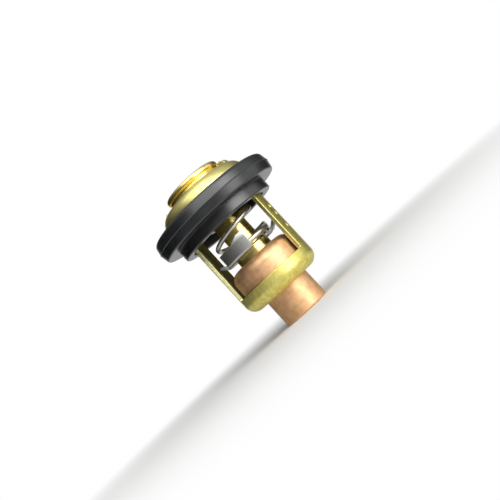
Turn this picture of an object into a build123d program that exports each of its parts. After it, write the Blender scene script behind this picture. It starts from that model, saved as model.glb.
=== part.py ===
"""Wax-element engine thermostat with a moulded rubber seal ring.

Millimetres. Z is the axis of the valve, positive towards the valve disc. The origin is the
centre of the flat end of the copper bulb. The two cage legs stand on the +X and -X sides, so
the two open windows face +Y and -Y. The valve is shut. Each height is stacked on the piece
that carries it, and each radius inside the cage is taken from the cage less a named gap.
"""

from build123d import *
import math
import os

os.makedirs("parts", exist_ok=True)

# ---------------------------------------------------------------- gaps
SEAT_GAP = 0.08  # valve disc above the crown when shut
RUN_GAP = 0.05  # radial, stem on neck and piston in guide
LOOSE_GAP = 0.1  # radial, pieces that only locate each other
BULB_GAP = 0.13  # radial, bulb in the cup floor
RUBBER_GAP = 0.5  # radial, rubber around the legs
PLUG_GAP = 0.06  # piston above the wafer
CASE_GAP = 0.6  # radial, element case in the cage
WING_GAP = 1.8  # radial, retainer wings in the cage
EAR_GAP = 0.4  # radial, retainer ears between the legs
COIL_GAP = 0.4  # radial, coil in the retainer walls
LIFT_GAP = 0.4  # hub of the retainer above the collar of the guide
OVERRUN = 1.0  # how far a cut or a blank runs past the surface that trims it

# ---------------------------------------------------------------- cage: cup, legs and tabs
BULB_LENGTH = 7.6  # bulb end to the underside of the cage cup
CAGE_RADIUS = 11.0
CAGE_WALL = 1.1
CUP_DEPTH = 4.9  # underside of the cup to its rim
CUP_CORNER = 3.0  # outside radius between the floor and the side of the cup
CUP_HOLE_EDGE = 0.25
CUP_RIM_EDGE = 0.12
LEG_LENGTH = 21.2  # rim of the cup to the underside of the crown's flange
LEG_HALF_ANGLE = 19.5  # degrees each side of the X axis
TAB_HALF_ANGLE = 13.0  # the narrower end of a leg, through the crown
PEEN_HEIGHT = 0.42  # metal of a tab end, spread over the crown
PEEN_SPREAD = 2.5  # degrees that it spreads past the tab
PEEN_LIP = 0.7  # how far it spreads towards the axis
MARK_RADIUS = 0.5  # three round punch marks down the outside of the +X leg
MARK_DEPTH = 0.18
MARK_LIFTS = (6.2, 10.1, 12.4)  # above the rim of the cup
MARK_AZIMUTH = -5.0

# ---------------------------------------------------------------- crown: the dome with the valve seat
CROWN_OVERHANG = 1.8  # crown radius past the cage radius
CROWN_HEIGHT = 6.6  # underside of the flange to the flat seat
CROWN_SHEET = 0.9
CROWN_ROOT = 0.3  # radius between the flange and the wall
CROWN_SHOULDER = 3.3  # outside radius from the wall into the flat seat
SEAT_WIDTH = 2.2  # seat under the valve disc, from the water way out to the lip
SEAT_EDGE = 0.35
FLANGE_WIDTH = 2.6  # flange that the rubber grips
FLANGE_EDGE = 0.2

# ---------------------------------------------------------------- seal ring
RING_RADIUS = 18.0  # at the parting line of the mould
RIM_DROP = 2.1  # underside of the rim below the underside of the flange
RIM_DEPTH = 5.05
RIM_PARTING = 2.4  # parting line above the underside of the rim
RIM_DRAFT = 0.55  # how much smaller the rim is at its two faces
RIM_UNDER_EDGE = 0.45
RIM_TOP_EDGE = 1.0
FLASH_WIDTH = 0.3
FLASH_HEIGHT = 0.13
STEP_RADIUS = 13.85  # the spigot under the rim, which enters the housing bore
STEP_LENGTH = 2.9
STEP_EDGE = 0.35
RUBBER_EDGE = 0.3  # of the inner corners

# ---------------------------------------------------------------- wax element
BULB_STEP = 3.03  # radial, the bulb is this much smaller than the body
BULB_EDGE = 0.45
CASE_HEIGHT = 9.7  # cup floor to the shoulder face
CASE_SHOULDER = 2.7
CASE_FOOT = 2.2  # corner radius where the body sits in the cup
CASE_WALL = 0.8
CASE_EDGE = 0.3
WAX_DEPTH = 3.5  # cup floor to the membrane
MEMBRANE_SHEET = 0.9
COLLAR_RADIUS = 5.0
COLLAR_HEIGHT = 2.4  # above the case
COLLAR_EDGE = 0.25
NECK_RADIUS = 2.9
NECK_LENGTH = 6.4  # above the collar
NECK_EDGE = 0.3
CHAMBER_MOUTH = 5.4  # radius of the fluid chamber where it meets the membrane
CHAMBER_DEPTH = 2.6
PLUG_LENGTH = 2.6
WAFER_SHEET = 0.5
PISTON_RADIUS = 1.5
PISTON_REACH = 5.8  # past the end of the neck
PISTON_FOOT_EDGE = 0.15
PISTON_TIP_EDGE = 0.35

# ---------------------------------------------------------------- valve
STEM_RADIUS = 3.9
STEM_STEP = 0.45  # the spigot through the retainer is this much smaller
STEM_ROOM = 0.5  # inside the sleeve, past the end of the neck
STEM_FOOT_EDGE = 0.1
STEM_TOP_EDGE = 0.2
SWAGE_LIP = 0.7  # swaged foot past the stem radius
SWAGE_SHEET = 0.3
SWAGE_EDGE = 0.12
RIVET_RADIUS = 2.1
RIVET_HEAD = 1.1  # how far the head spreads past the rivet
RIVET_HEIGHT = 0.5
RIVET_EDGE = 0.4
DISC_SHELF = 4.7  # radial, crown past the valve disc
DISC_HEIGHT = 2.72
DISC_LIP = 0.55  # height of the sealing lip at the foot of the disc
DISC_LIP_EDGE = 0.12
DISC_WAIST = 0.35  # depth of the groove above the lip
DISC_CHAMFER = 0.3  # slope from the groove out to the band
DISC_RIM = 1.2  # height of the band above the groove
DISC_RIM_WALL = 1.5
DISC_EDGE = 0.15
DISC_TOP_EDGE = 0.4
DISC_WEB_LIFT = 0.77  # web above the foot of the disc
DISC_WEB = 1.2
DISC_WEB_EDGE = 0.3

# ---------------------------------------------------------------- spring and its retainer
RETAINER_SHEET = 0.6
RETAINER_HUB = 5.3
RETAINER_BEND = 0.2  # inside radius of the sheet at each bend
RETAINER_DROP = 1.1  # hub down to the floor under the coil
WING_WALL = 3.8  # underside of the floor to the top of an upturned wall
WING_HORN = 4.85  # underside of the floor to the top of its taller end
WING_AZIMUTH = -104.5  # direction of the middle of one wing, degrees from +X
WING_HALF_ANGLE = 35.0
HORN_ANGLE = 31.0  # width of the taller end, with the slope up to it
HORN_SLOPE_ANGLE = 20.0  # width of that slope
EAR_HALF_WIDTH = 1.7
EAR_RISE = 1.6  # of its tip, bent up beside the leg
WIRE = 1.25
COIL_AZIMUTH = -9.5  # where the closed bottom coil starts to climb
ACTIVE_TURNS = 2.613
CLOSED_TURNS = 0.85
CLOSED_PITCH = 0.68  # of the end coils
POINTS_PER_TURN = 12

# ---------------------------------------------------------------- the stack of heights and radii
CUP_RIM = BULB_LENGTH + CUP_DEPTH
CUP_FLOOR = BULB_LENGTH + CAGE_WALL
FLANGE_BOTTOM = CUP_RIM + LEG_LENGTH
FLANGE_TOP = FLANGE_BOTTOM + CROWN_SHEET
CROWN_TOP = FLANGE_BOTTOM + CROWN_HEIGHT
CROWN_UNDERSIDE = CROWN_TOP - CROWN_SHEET
LEG_INSIDE = CAGE_RADIUS - CAGE_WALL
CROWN_RADIUS = CAGE_RADIUS + CROWN_OVERHANG
FLANGE_RADIUS = CROWN_RADIUS + FLANGE_WIDTH
RIM_BOTTOM = FLANGE_BOTTOM - RIM_DROP
RIM_TOP = RIM_BOTTOM + RIM_DEPTH

CASE_RADIUS = LEG_INSIDE - CASE_GAP
CASE_INSIDE = CASE_RADIUS - CASE_WALL
BULB_RADIUS = CASE_RADIUS - BULB_STEP
BULB_INSIDE = BULB_RADIUS - CASE_WALL
CASE_TOP = CUP_FLOOR + CASE_HEIGHT
CASE_ROOF = CASE_TOP - CASE_WALL
MEMBRANE_BOTTOM = CUP_FLOOR + WAX_DEPTH
GUIDE_FOOT = MEMBRANE_BOTTOM + MEMBRANE_SHEET
GUIDE_BORE = PISTON_RADIUS + RUN_GAP
CHAMBER_TOP = GUIDE_FOOT + CHAMBER_DEPTH
PLUG_TOP = CHAMBER_TOP + PLUG_LENGTH
WAFER_TOP = PLUG_TOP + WAFER_SHEET
COLLAR_TOP = CASE_TOP + COLLAR_HEIGHT
NECK_TOP = COLLAR_TOP + NECK_LENGTH
PISTON_TOP = NECK_TOP + PISTON_REACH

HUB_BOTTOM = COLLAR_TOP + LIFT_GAP
HUB_TOP = HUB_BOTTOM + RETAINER_SHEET
FLOOR_BOTTOM = HUB_BOTTOM - RETAINER_DROP
FLOOR_TOP = FLOOR_BOTTOM + RETAINER_SHEET
DROP_INSIDE = COLLAR_RADIUS + LOOSE_GAP
DROP_OUTSIDE = DROP_INSIDE + RETAINER_SHEET
OUTER_BEND = RETAINER_BEND + RETAINER_SHEET
WING_RADIUS = LEG_INSIDE - WING_GAP
WING_INSIDE = WING_RADIUS - RETAINER_SHEET
EAR_REACH = LEG_INSIDE - EAR_GAP
COIL_RADIUS = WING_INSIDE - COIL_GAP - WIRE / 2  # to the middle of the wire
STEM_SPIGOT = STEM_RADIUS - STEM_STEP
STEM_BORE = NECK_RADIUS + RUN_GAP
DISC_RADIUS = CROWN_RADIUS - DISC_SHELF
SEAT_OPENING = DISC_RADIUS - SEAT_WIDTH
DISC_FOOT = CROWN_TOP + SEAT_GAP
DISC_TOP = DISC_FOOT + DISC_HEIGHT
DISC_INSIDE = DISC_RADIUS - DISC_RIM_WALL
WEB_BOTTOM = DISC_FOOT + DISC_WEB_LIFT
WEB_TOP = WEB_BOTTOM + DISC_WEB


def profile(*corners):
    """Upright face through the +X axis from (radius, height, corner radius) points."""
    face = make_face(Plane.XZ * Polyline(*[(r, z) for r, z, _ in corners], close=True))
    for r, z, edge in corners:
        if edge:
            corner = face.vertices().sort_by_distance((r, 0, z))[0]
            face = fillet(corner, edge)
    return face


def turned(*corners):
    """Solid turned about Z from such points."""
    return revolve(profile(*corners), Axis.Z)


def turned_part(face, azimuth, half_angle):
    """The same face turned through a part of a turn, centred on an azimuth in degrees."""
    swept = revolve(face, Axis.Z, 2 * half_angle)
    middle = swept.center()
    turn = azimuth - math.degrees(math.atan2(middle.Y, middle.X))
    return Rot(0, 0, turn) * swept


def rod(radius, bottom, height):
    """Plain cylinder on the Z axis."""
    return Pos(0, 0, bottom) * Cylinder(radius, height, align=(Align.CENTER, Align.CENTER, Align.MIN))


def sector(inner, outer, bottom, top, azimuth, half_angle):
    """Block of a tube wall between two radii, centred on an azimuth in degrees."""
    section = profile((inner, bottom, 0), (outer, bottom, 0), (outer, top, 0), (inner, top, 0))
    return turned_part(section, azimuth, half_angle)


def crown_body(growth):
    """Solid under the outside of the crown, grown outwards by a distance."""
    return turned(
        (0, FLANGE_BOTTOM, 0),
        (CROWN_RADIUS + growth, FLANGE_BOTTOM, 0),
        (CROWN_RADIUS + growth, CROWN_TOP + growth, CROWN_SHOULDER + growth),
        (0, CROWN_TOP + growth, 0),
    )


def make_crown():
    """Drawn brass dome: gripped flange, round shoulder, flat seat and two slots for the tabs."""
    shell = turned(
        (CROWN_RADIUS - CROWN_SHEET, FLANGE_BOTTOM, CROWN_SHEET),
        (FLANGE_RADIUS, FLANGE_BOTTOM, FLANGE_EDGE),
        (FLANGE_RADIUS, FLANGE_TOP, FLANGE_EDGE),
        (CROWN_RADIUS, FLANGE_TOP, CROWN_ROOT),
        (CROWN_RADIUS, CROWN_TOP, CROWN_SHOULDER),
        (SEAT_OPENING, CROWN_TOP, SEAT_EDGE),
        (SEAT_OPENING, CROWN_UNDERSIDE, 0),
        (CROWN_RADIUS - CROWN_SHEET, CROWN_UNDERSIDE, CROWN_SHOULDER - CROWN_SHEET),
    )
    slot_half_angle = TAB_HALF_ANGLE + math.degrees(LOOSE_GAP / CAGE_RADIUS)
    for azimuth in (0, 180):
        shell -= sector(
            LEG_INSIDE - LOOSE_GAP,
            CAGE_RADIUS + LOOSE_GAP,
            FLANGE_TOP,
            CROWN_TOP + OVERRUN,
            azimuth,
            slot_half_angle,
        )
    return shell


def make_cup():
    """Cup of the cage, with a hole in its floor for the bulb."""
    hole = BULB_RADIUS + BULB_GAP
    return turned(
        (hole, BULB_LENGTH, CUP_HOLE_EDGE),
        (CAGE_RADIUS, BULB_LENGTH, CUP_CORNER),
        (CAGE_RADIUS, CUP_RIM, CUP_RIM_EDGE),
        (LEG_INSIDE, CUP_RIM, CUP_RIM_EDGE),
        (LEG_INSIDE, CUP_FLOOR, CUP_CORNER - CAGE_WALL),
        (hole, CUP_FLOOR, 0),
    )


def make_leg(azimuth):
    """Leg from the wall of the cup, with its narrow tab through the crown peened over outside."""
    foot = CUP_RIM - OVERRUN
    beside_crown = FLANGE_BOTTOM + OVERRUN
    leg = sector(LEG_INSIDE, CAGE_RADIUS, foot, CROWN_TOP, azimuth, LEG_HALF_ANGLE)
    lower = sector(0, CAGE_RADIUS + OVERRUN, foot, beside_crown, azimuth, LEG_HALF_ANGLE + PEEN_SPREAD)
    tab = sector(LEG_INSIDE, CAGE_RADIUS, FLANGE_BOTTOM, CROWN_TOP, azimuth, TAB_HALF_ANGLE)
    peen = sector(
        LEG_INSIDE - PEEN_LIP,
        CAGE_RADIUS,
        FLANGE_BOTTOM,
        CROWN_TOP + OVERRUN,
        azimuth,
        TAB_HALF_ANGLE + PEEN_SPREAD,
    )
    inside_crown = crown_body(-CROWN_SHEET - LOOSE_GAP)
    over_crown = crown_body(PEEN_HEIGHT) - crown_body(0)
    return (leg & lower) + (leg & inside_crown) + (tab & crown_body(0)) + (peen & over_crown)


def make_cage():
    """Drawn brass cage: cup, two legs and the row of punch marks."""
    cage = make_cup() + make_leg(0) + make_leg(180)
    for lift in MARK_LIFTS:
        mark = Pos(CAGE_RADIUS, 0, CUP_RIM + lift) * Rot(0, 90, 0) * Cylinder(MARK_RADIUS, 2 * MARK_DEPTH)
        cage -= Rot(0, 0, MARK_AZIMUTH) * mark
    return cage


def make_seal_ring():
    """Moulded rubber ring: a deep rim with a parting line, a spigot below, a groove for the flange."""
    inside = CAGE_RADIUS + RUBBER_GAP
    collar = CROWN_RADIUS + LOOSE_GAP
    groove = FLANGE_RADIUS + LOOSE_GAP
    face_radius = RING_RADIUS - RIM_DRAFT
    flash_root = RING_RADIUS - FLASH_HEIGHT
    parting = RIM_BOTTOM + RIM_PARTING
    step_bottom = RIM_BOTTOM - STEP_LENGTH
    return turned(
        (inside, step_bottom, RUBBER_EDGE),
        (STEP_RADIUS, step_bottom, STEP_EDGE),
        (STEP_RADIUS, RIM_BOTTOM, 0),
        (face_radius, RIM_BOTTOM, RIM_UNDER_EDGE),
        (flash_root, parting - FLASH_WIDTH / 2, 0),
        (RING_RADIUS, parting, 0),
        (flash_root, parting + FLASH_WIDTH / 2, 0),
        (face_radius, RIM_TOP, RIM_TOP_EDGE),
        (collar, RIM_TOP, RUBBER_EDGE),
        (collar, FLANGE_TOP, CROWN_ROOT + LOOSE_GAP),
        (groove, FLANGE_TOP, 0),
        (groove, FLANGE_BOTTOM, 0),
        (inside, FLANGE_BOTTOM, RUBBER_EDGE),
    )


def make_element_case():
    """Drawn copper case: the bulb below, the body in the cup, the top turned in round the collar."""
    return turned(
        (0, 0, 0),
        (BULB_RADIUS, 0, BULB_EDGE),
        (BULB_RADIUS, CUP_FLOOR, 0),
        (CASE_RADIUS, CUP_FLOOR, CASE_FOOT),
        (CASE_RADIUS, CASE_TOP, CASE_SHOULDER),
        (COLLAR_RADIUS, CASE_TOP, CASE_EDGE),
        (COLLAR_RADIUS, CASE_ROOF, 0),
        (CASE_INSIDE, CASE_ROOF, CASE_SHOULDER - CASE_WALL),
        (CASE_INSIDE, CUP_FLOOR + CASE_WALL, CASE_FOOT - CASE_WALL),
        (BULB_INSIDE, CUP_FLOOR + CASE_WALL, 0),
        (BULB_INSIDE, CASE_WALL, CASE_EDGE),
        (0, CASE_WALL, 0),
    )


def make_wax_charge():
    """Wax and copper powder that fill the case up to the membrane."""
    return turned(
        (0, CASE_WALL, 0),
        (BULB_INSIDE, CASE_WALL, CASE_EDGE),
        (BULB_INSIDE, CUP_FLOOR + CASE_WALL, 0),
        (CASE_INSIDE, CUP_FLOOR + CASE_WALL, CASE_FOOT - CASE_WALL),
        (CASE_INSIDE, MEMBRANE_BOTTOM, 0),
        (0, MEMBRANE_BOTTOM, 0),
    )


def make_membrane():
    """Rubber membrane clamped between the case and the guide."""
    return rod(CASE_INSIDE, MEMBRANE_BOTTOM, MEMBRANE_SHEET)


def make_guide():
    """Brass guide: its foot closes the case, its collar shows above, its neck leads the stem."""
    return turned(
        (CHAMBER_MOUTH, GUIDE_FOOT, 0),
        (CASE_INSIDE, GUIDE_FOOT, 0),
        (CASE_INSIDE, CASE_ROOF, CASE_SHOULDER - CASE_WALL),
        (COLLAR_RADIUS, CASE_ROOF, 0),
        (COLLAR_RADIUS, COLLAR_TOP, COLLAR_EDGE),
        (NECK_RADIUS, COLLAR_TOP, 0),
        (NECK_RADIUS, NECK_TOP, NECK_EDGE),
        (GUIDE_BORE, NECK_TOP, 0),
        (GUIDE_BORE, CHAMBER_TOP, 0),
    )


def make_fluid_fill():
    """Semi-fluid fill of the cone between the membrane and the plug."""
    return turned(
        (0, GUIDE_FOOT, 0),
        (CHAMBER_MOUTH, GUIDE_FOOT, 0),
        (GUIDE_BORE, CHAMBER_TOP, 0),
        (0, CHAMBER_TOP, 0),
    )


def make_piston_plug():
    """Rubber plug that the fill pushes up the bore."""
    return rod(GUIDE_BORE, CHAMBER_TOP, PLUG_LENGTH)


def make_plug_wafer():
    """Hard disc that keeps the plug from creeping past the piston."""
    return rod(GUIDE_BORE, PLUG_TOP, WAFER_SHEET)


def make_piston():
    """Steel piston between the plug and the blind end of the stem."""
    return turned(
        (0, WAFER_TOP + PLUG_GAP, 0),
        (PISTON_RADIUS, WAFER_TOP + PLUG_GAP, PISTON_FOOT_EDGE),
        (PISTON_RADIUS, PISTON_TOP, PISTON_TIP_EDGE),
        (0, PISTON_TOP, 0),
    )


def make_valve_stem():
    """Brass stem: sleeve over the guide neck, swaged under the retainer, riveted over the disc."""
    swage_radius = STEM_RADIUS + SWAGE_LIP
    swage_bottom = HUB_BOTTOM - SWAGE_SHEET
    head_radius = RIVET_RADIUS + RIVET_HEAD
    sleeve_roof = NECK_TOP + STEM_ROOM
    return turned(
        (STEM_BORE, swage_bottom, STEM_FOOT_EDGE),
        (swage_radius, swage_bottom, SWAGE_EDGE),
        (swage_radius, HUB_BOTTOM, 0),
        (STEM_SPIGOT, HUB_BOTTOM, 0),
        (STEM_SPIGOT, HUB_TOP, 0),
        (STEM_RADIUS, HUB_TOP, STEM_FOOT_EDGE),
        (STEM_RADIUS, WEB_BOTTOM, STEM_TOP_EDGE),
        (RIVET_RADIUS, WEB_BOTTOM, 0),
        (RIVET_RADIUS, WEB_TOP, 0),
        (head_radius, WEB_TOP, 0),
        (head_radius, WEB_TOP + RIVET_HEIGHT, RIVET_EDGE),
        (0, WEB_TOP + RIVET_HEIGHT, 0),
        (0, PISTON_TOP, 0),
        (GUIDE_BORE, PISTON_TOP, 0),
        (GUIDE_BORE, sleeve_roof, 0),
        (STEM_BORE, sleeve_roof, 0),
    )


def make_valve_disc():
    """Turned brass disc: sealing lip, groove and band round its side, thin web in the middle."""
    waist = DISC_RADIUS - DISC_WAIST
    lip_top = DISC_FOOT + DISC_LIP
    band_bottom = DISC_TOP - DISC_RIM
    return turned(
        (DISC_INSIDE, DISC_FOOT, DISC_EDGE),
        (DISC_RADIUS, DISC_FOOT, DISC_EDGE),
        (DISC_RADIUS, lip_top, DISC_LIP_EDGE),
        (waist, lip_top + DISC_LIP_EDGE, 0),
        (waist, band_bottom - DISC_CHAMFER, 0),
        (DISC_RADIUS, band_bottom, DISC_EDGE),
        (DISC_RADIUS, DISC_TOP, DISC_TOP_EDGE),
        (DISC_INSIDE, DISC_TOP, DISC_WEB_EDGE),
        (DISC_INSIDE, WEB_TOP, DISC_WEB_EDGE),
        (RIVET_RADIUS, WEB_TOP, 0),
        (RIVET_RADIUS, WEB_BOTTOM, 0),
        (DISC_INSIDE, WEB_BOTTOM, 0),
    )


def make_wing(azimuth):
    """Wing from the hub down to the floor under the coil, its edge turned up outside the coil."""
    wall_top = FLOOR_BOTTOM + WING_WALL
    horn_top = FLOOR_BOTTOM + WING_HORN
    end = azimuth + WING_HALF_ANGLE
    section = profile(
        (STEM_SPIGOT, HUB_BOTTOM, 0),
        (DROP_INSIDE, HUB_BOTTOM, RETAINER_BEND),
        (DROP_INSIDE, FLOOR_BOTTOM, OUTER_BEND),
        (WING_RADIUS, FLOOR_BOTTOM, OUTER_BEND),
        (WING_RADIUS, wall_top, 0),
        (WING_INSIDE, wall_top, 0),
        (WING_INSIDE, FLOOR_TOP, RETAINER_BEND),
        (DROP_OUTSIDE, FLOOR_TOP, RETAINER_BEND),
        (DROP_OUTSIDE, HUB_TOP, OUTER_BEND),
        (STEM_SPIGOT, HUB_TOP, 0),
    )
    horn = sector(WING_INSIDE, WING_RADIUS, wall_top, horn_top, end - HORN_ANGLE / 2, HORN_ANGLE / 2)
    slope_run = WING_RADIUS * math.sin(math.radians(HORN_SLOPE_ANGLE))
    fall = math.degrees(math.atan((horn_top - wall_top) / slope_run))
    slope_top = Rot(0, 0, end - HORN_ANGLE + HORN_SLOPE_ANGLE) * Pos(0, 0, horn_top)
    above = slope_top * Rot(fall, 0, 0) * rod(2 * WING_RADIUS, 0, WING_HORN)
    return turned_part(section, azimuth, WING_HALF_ANGLE) + (horn - above)


def make_ear(azimuth):
    """Narrow ear from the hub down to the floor, its end bent up to run beside the leg."""
    section = profile(
        (STEM_SPIGOT, HUB_BOTTOM, 0),
        (DROP_INSIDE, HUB_BOTTOM, RETAINER_BEND),
        (DROP_INSIDE, FLOOR_BOTTOM, OUTER_BEND),
        (WING_INSIDE, FLOOR_BOTTOM, OUTER_BEND),
        (EAR_REACH, FLOOR_BOTTOM + EAR_RISE, 0),
        (EAR_REACH, FLOOR_TOP + EAR_RISE, 0),
        (WING_INSIDE, FLOOR_TOP, RETAINER_BEND),
        (DROP_OUTSIDE, FLOOR_TOP, RETAINER_BEND),
        (DROP_OUTSIDE, HUB_TOP, OUTER_BEND),
        (STEM_SPIGOT, HUB_TOP, 0),
    )
    strip = Pos(0, 0, HUB_BOTTOM) * Box(2 * CAGE_RADIUS, 2 * EAR_HALF_WIDTH, 2 * WING_HORN)
    return turned_part(section, azimuth, WING_HALF_ANGLE) & strip


def make_spring_retainer():
    """Steel pressing: raised hub, two wings with upturned walls outside the coil, two ears."""
    plate = rod(RETAINER_HUB, HUB_BOTTOM, RETAINER_SHEET)
    for azimuth in (0, 180):
        plate += make_ear(azimuth)
    for azimuth in (WING_AZIMUTH, WING_AZIMUTH + 180):
        plate += make_wing(azimuth)
    return plate - rod(STEM_SPIGOT, HUB_BOTTOM - OVERRUN, RETAINER_SHEET + 2 * OVERRUN)


def make_return_spring():
    """Steel spring with a closed coil at each end, between the retainer and the crown."""
    bottom = FLOOR_TOP + WIRE / 2
    top = CROWN_UNDERSIDE - WIRE / 2
    closed_rise = CLOSED_TURNS * CLOSED_PITCH
    active_pitch = (top - bottom - 2 * closed_rise) / ACTIVE_TURNS
    total_turns = ACTIVE_TURNS + 2 * CLOSED_TURNS
    steps = round(total_turns * POINTS_PER_TURN)
    centres = []
    for step in range(steps + 1):
        turn = total_turns * step / steps
        active = min(max(turn - CLOSED_TURNS, 0), ACTIVE_TURNS)
        height = bottom + active * active_pitch + (turn - active) * CLOSED_PITCH
        angle = math.radians(COIL_AZIMUTH + 360 * (turn - CLOSED_TURNS))
        centres.append((COIL_RADIUS * math.cos(angle), COIL_RADIUS * math.sin(angle), height))
    path = Spline(*centres)
    section = Plane(origin=path @ 0, z_dir=path % 0) * Circle(WIRE / 2)
    return sweep(section, path=path, is_frenet=True)


PIECES = {
    "cage": make_cage,
    "crown": make_crown,
    "seal_ring": make_seal_ring,
    "element_case": make_element_case,
    "wax_charge": make_wax_charge,
    "membrane": make_membrane,
    "element_guide": make_guide,
    "fluid_fill": make_fluid_fill,
    "piston_plug": make_piston_plug,
    "plug_wafer": make_plug_wafer,
    "piston": make_piston,
    "valve_stem": make_valve_stem,
    "valve_disc": make_valve_disc,
    "spring_retainer": make_spring_retainer,
    "return_spring": make_return_spring,
}

for name, make in PIECES.items():
    export_step(make(), f"parts/{name}.step")
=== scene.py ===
"""Looks of a wax-element engine thermostat with a moulded seal ring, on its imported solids.

Sizes are in millimetres and become metres where a mesh is made. Z is the axis of the valve.
The cage legs stand on the +X and -X sides and the windows face +Y and -Y. Azimuths are in
degrees from +X towards +Y.
"""

import bmesh
import bpy
import math
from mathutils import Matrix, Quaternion, Vector


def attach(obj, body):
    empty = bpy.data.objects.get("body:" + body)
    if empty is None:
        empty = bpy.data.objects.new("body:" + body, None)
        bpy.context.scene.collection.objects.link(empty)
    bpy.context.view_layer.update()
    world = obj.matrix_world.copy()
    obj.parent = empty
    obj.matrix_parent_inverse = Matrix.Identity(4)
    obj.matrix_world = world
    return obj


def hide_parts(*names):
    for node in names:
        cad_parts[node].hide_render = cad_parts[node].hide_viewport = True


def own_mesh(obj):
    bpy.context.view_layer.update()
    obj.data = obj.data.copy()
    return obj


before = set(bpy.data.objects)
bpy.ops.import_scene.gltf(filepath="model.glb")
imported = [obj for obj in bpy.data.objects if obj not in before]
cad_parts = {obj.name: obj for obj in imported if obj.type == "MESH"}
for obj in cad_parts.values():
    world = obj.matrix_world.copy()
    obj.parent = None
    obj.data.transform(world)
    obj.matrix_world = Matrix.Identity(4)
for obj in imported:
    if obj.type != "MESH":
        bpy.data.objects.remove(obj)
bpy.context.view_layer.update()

MM = 0.001

# ---------------------------------------------------------------- sizes, in millimetres and degrees
NEAR = 0.03
NEAR_ANGLE = 0.1
BULB_RADIUS = 6.27
BULB_LENGTH = 7.6
CAGE_RADIUS = 11.0
CAGE_WALL = 1.1
CUP_RIM = 12.5
CUP_CORNER = 3.0
CUP_HOLE = 6.4
LEG_HALF_ANGLE = 19.5
LEG_TOP = 38.65
TAB_HALF_ANGLE = 13.0
TAB_TOP = 39.9
FOLD_INSIDE = 8.35
FOLD_OUTSIDE = 10.7
FOLD_TOP = 41.3
FOLD_SINK = 0.05
FOLD_EDGE = 0.18
LEG_FILLET = 0.4
CAGE_EDGE = 0.2
MARK_RADIUS = 0.5
MARK_DEPTH = 0.18
MARK_EDGE = 0.13
MARK_HEIGHTS = (18.7, 22.6, 24.9)
MARK_AZIMUTH = -5.0

CROWN_RADIUS = 12.8
CROWN_SHEET = 0.9
CROWN_SHOULDER = 3.3
CROWN_TOP = 40.3
SEAT_OPENING = 5.9
FLANGE_RADIUS = 15.4
FLANGE_BOTTOM = 33.7
FLANGE_TOP = 34.6
SLOT_GAP = 0.1
SLOT_GAP_ANGLE = 0.5
TAB_OVERLAP = 0.02
OVERRUN = 1.0

RING_RADIUS = 18.0
RIM_BOTTOM = 31.6
RIM_TOP = 36.65
RIM_DRAFT = 0.55
PARTING = 34.0
FLASH_WIDTH = 0.3
FLASH_HEIGHT = 0.13
STEP_RADIUS = 13.85
STEP_BOTTOM = 28.7
RING_INSIDE = 11.5
RUBBER_GAP = 0.1

CASE_RADIUS = 9.3
CASE_WALL = 0.8
CASE_FLOOR = 8.7
CASE_TOP = 18.4
CASE_SHOULDER = 2.7
CASE_FOOT = 2.2
COLLAR_RADIUS = 5.0
COLLAR_TOP = 20.8
NECK_RADIUS = 2.9
NECK_TOP = 27.2
GUIDE_FOOT = 13.1
GUIDE_BORE = 1.55
CHAMBER_MOUTH = 5.4
CHAMBER_TOP = 15.7

STEM_RADIUS = 3.9
STEM_SPIGOT = 3.45
SPIGOT_GAP = 0.02
STEM_BORE = 2.95
STEM_ROOF = 27.7
PISTON_TOP = 33.0
SWAGE_RADIUS = 4.6
SWAGE_SHEET = 0.3
RIVET_RADIUS = 2.1
RIVET_HEAD = 3.2
RIVET_HEIGHT = 0.5
DISC_RADIUS = 8.1
DISC_INSIDE = 6.6
DISC_WAIST = 7.75
DISC_FOOT = 40.38
DISC_TOP = 43.1
DISC_LIP = 0.55
DISC_BAND = 1.2
DISC_GROOVE_SLOPE = 0.3
WEB_BOTTOM = 41.15
WEB_TOP = 42.35

HUB_BOTTOM = 21.2
HUB_TOP = 21.8
FLOOR_BOTTOM = 20.1
RETAINER_SHEET = 0.6
HUB_BEND = 0.2
FLOOR_BEND = 0.8
RETAINER_EDGE = 0.11
HUB_RADIUS = 5.1
WING_RADIUS = 8.1
WING_INSIDE = 7.5
WING_TOP = 23.9
HORN_TOP = 24.95
WING_AZIMUTH = -104.5
WING_HALF_ANGLE = 35.0
HORN_ANGLE = 31.0
HORN_SLOPE_ANGLE = 20.0
EAR_ROOT = 0.4
EAR_REACH = 9.5
EAR_HALF_WIDTH = 1.7
EAR_RISE = 1.6

WIRE = 1.25
STEPS_A_TURN = 48
COIL_RADIUS = 6.475
COIL_BOTTOM = 21.34
COIL_TOP = 38.775
COIL_AZIMUTH = -9.5
ACTIVE_TURNS = 2.613
CLOSED_TURNS = 0.85
CLOSED_PITCH = 0.68


# ---------------------------------------------------------------- modelling by hand, in code
def clear_selection():
    """Nothing selected in object mode."""
    if bpy.context.object and bpy.context.object.mode != "OBJECT":
        bpy.ops.object.mode_set(mode="OBJECT")
    bpy.ops.object.select_all(action="DESELECT")


def take(piece):
    """The piece alone selected and active."""
    clear_selection()
    piece.select_set(True)
    bpy.context.view_layer.objects.active = piece


def settle(piece):
    """The place of the piece moved into its mesh, its object left at the origin."""
    take(piece)
    bpy.ops.object.transform_apply(location=True, rotation=True, scale=True)


def place(radius, azimuth, height):
    """Point in metres from a radius, an azimuth in degrees and a height."""
    angle = math.radians(azimuth)
    return Vector((radius * math.cos(angle), radius * math.sin(angle), height)) * MM


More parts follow.
